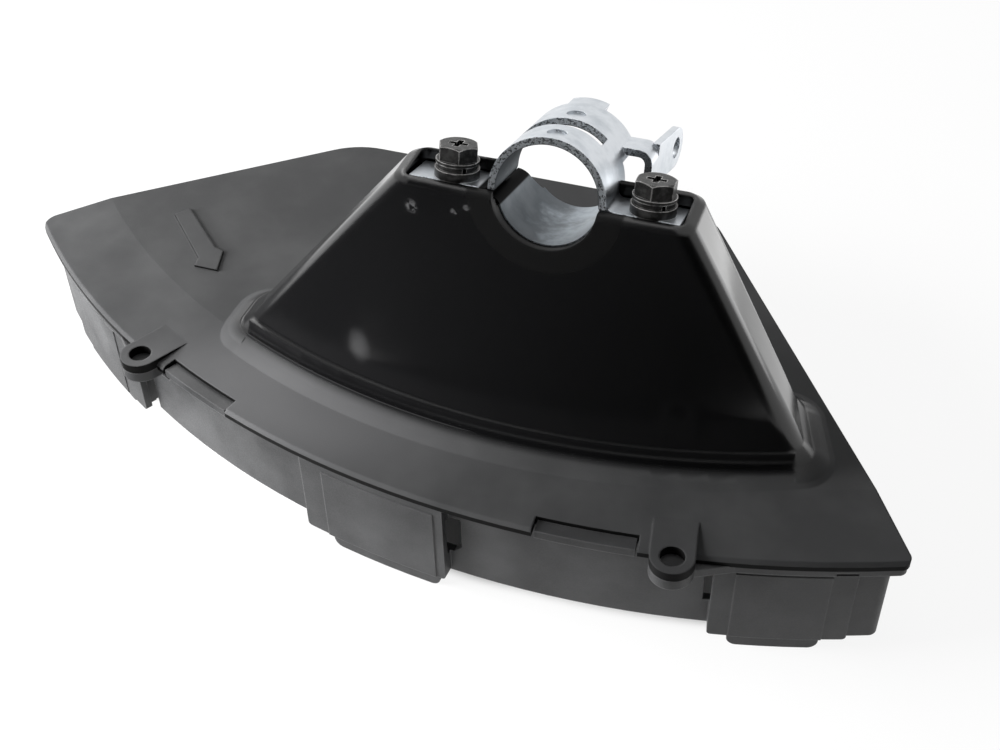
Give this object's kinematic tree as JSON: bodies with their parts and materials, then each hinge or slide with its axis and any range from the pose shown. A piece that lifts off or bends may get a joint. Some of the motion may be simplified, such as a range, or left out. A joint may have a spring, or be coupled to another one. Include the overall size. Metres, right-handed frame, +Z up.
{
  "type": "trimmer blade guard",
  "caption": "Fan-shaped plastic blade guard for a grass trimmer, with a hollow tower carrying a bolted tube clamp and a screwed-on skirt under the rim.",
  "frame": {"origin": "centre of the tube clamp on the tube's axis", "axes": "+X across the guard to its right seen from the rim, -Y out to the rim, +Z up, square to the plate"},
  "size_m": [0.3131, 0.1654, 0.141],
  "materials": {
    "black_plastic": "satin moulded plastic",
    "grey_plastic": "satin moulded plastic",
    "zinc_steel": "bright zinc plated sheet",
    "dark_steel": "dark plated, worn bright on the edges"
  },
  "bodies": {
    "root": {"guard_body": "black_plastic", "skirt_extension": "grey_plastic", "clamp_saddle": "zinc_steel", "clamp_cap": "zinc_steel", "collar_left": "dark_steel", "collar_right": "dark_steel", "spring_washer_left": "dark_steel", "spring_washer_right": "dark_steel", "plain_washer_left": "dark_steel", "plain_washer_right": "dark_steel", "clamp_bolt_left": "dark_steel", "clamp_bolt_right": "dark_steel", "nut_left": "zinc_steel", "nut_right": "zinc_steel"}
  },
  "joints": []
}
